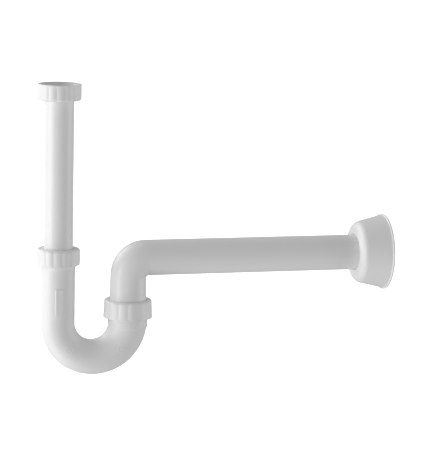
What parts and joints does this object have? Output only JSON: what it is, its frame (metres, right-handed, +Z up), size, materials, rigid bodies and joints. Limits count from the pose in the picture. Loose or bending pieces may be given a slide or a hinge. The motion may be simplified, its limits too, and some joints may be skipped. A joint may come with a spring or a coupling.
{
  "type": "p trap",
  "caption": "Basin P trap: telescopic inlet pipe with a flanged union nut, U bend with compression sockets, swivelling outlet pipe and sliding wall rosette.",
  "frame": {"origin": "on the inlet pipe's axis, at the top face of the washer that seals against the basin waste", "axes": "+Z up along the inlet pipe towards the basin, +X along the outlet pipe towards the wall"},
  "size_m": [0.4017, 0.087, 0.325],
  "materials": {
    "white_plastic": "satin white polypropylene",
    "slip_ring_plastic": "off-white nylon",
    "seal_rubber": "matt black rubber"
  },
  "bodies": {
    "inlet": {"inlet_pipe": "white_plastic", "inlet_washer": "seal_rubber"},
    "inlet_nut": {"inlet_nut": "white_plastic"},
    "inlet_seal": {"inlet_seal": "seal_rubber"},
    "trap": {"trap_bend": "white_plastic"},
    "inlet_slip_ring": {"inlet_slip_ring": "slip_ring_plastic"},
    "inlet_slip_nut": {"inlet_slip_nut": "white_plastic"},
    "outlet_seal": {"outlet_seal": "seal_rubber"},
    "outlet": {"outlet_bend": "white_plastic"},
    "outlet_slip_ring": {"outlet_slip_ring": "slip_ring_plastic"},
    "outlet_nut": {"outlet_nut": "white_plastic"},
    "rosette": {"wall_rosette": "white_plastic"}
  },
  "joints": [
    {"name": "inlet_nut_turn", "type": "hinge", "parent": "inlet", "child": "inlet_nut", "pos_m": [0, 0, 0], "axis": [0, 0, 1], "continuous": true},
    {"name": "height_adjust", "type": "slide", "parent": "inlet", "child": "inlet_seal", "axis": [0, 0, 1], "range_m": [-0.03, 0.025]},
    {"name": "trap_swivel", "type": "hinge", "parent": "inlet_seal", "child": "trap", "pos_m": [0, 0, -0.19], "axis": [0, 0, 1], "continuous": true},
    {"name": "inlet_slip_ring_lift", "type": "slide", "parent": "trap", "child": "inlet_slip_ring", "axis": [0, 0, 1], "range_m": [0, 0.0081]},
    {"name": "inlet_slip_nut_turn", "type": "hinge", "parent": "inlet_slip_ring", "child": "inlet_slip_nut", "pos_m": [0, 0, -0.18], "axis": [0, 0, 1], "range_deg": [0, 1260]},
    {"name": "outlet_swivel", "type": "hinge", "parent": "trap", "child": "outlet_seal", "pos_m": [0.079, 0, -0.24], "axis": [0, 0, 1], "range_deg": [-115, 115]},
    {"name": "outlet_lift", "type": "slide", "parent": "outlet_seal", "child": "outlet", "axis": [0, 0, 1], "range_m": [0, 0.01]},
    {"name": "outlet_slip_ring_lift", "type": "slide", "parent": "trap", "child": "outlet_slip_ring", "axis": [0, 0, 1], "range_m": [0, 0.0081]},
    {"name": "outlet_nut_turn", "type": "hinge", "parent": "outlet_slip_ring", "child": "outlet_nut", "pos_m": [0.079, 0, -0.24], "axis": [0, 0, 1], "range_deg": [0, 1260]},
    {"name": "rosette_slide", "type": "slide", "parent": "outlet", "child": "rosette", "axis": [-1, 0, 0], "range_m": [0, 0.2]}
  ],
  "couplings": [
    {"joint": "inlet_slip_ring_lift", "follows": "inlet_slip_nut_turn", "m_per_rad": 0.0003675},
    {"joint": "outlet_slip_ring_lift", "follows": "outlet_nut_turn", "m_per_rad": 0.0003675}
  ]
}
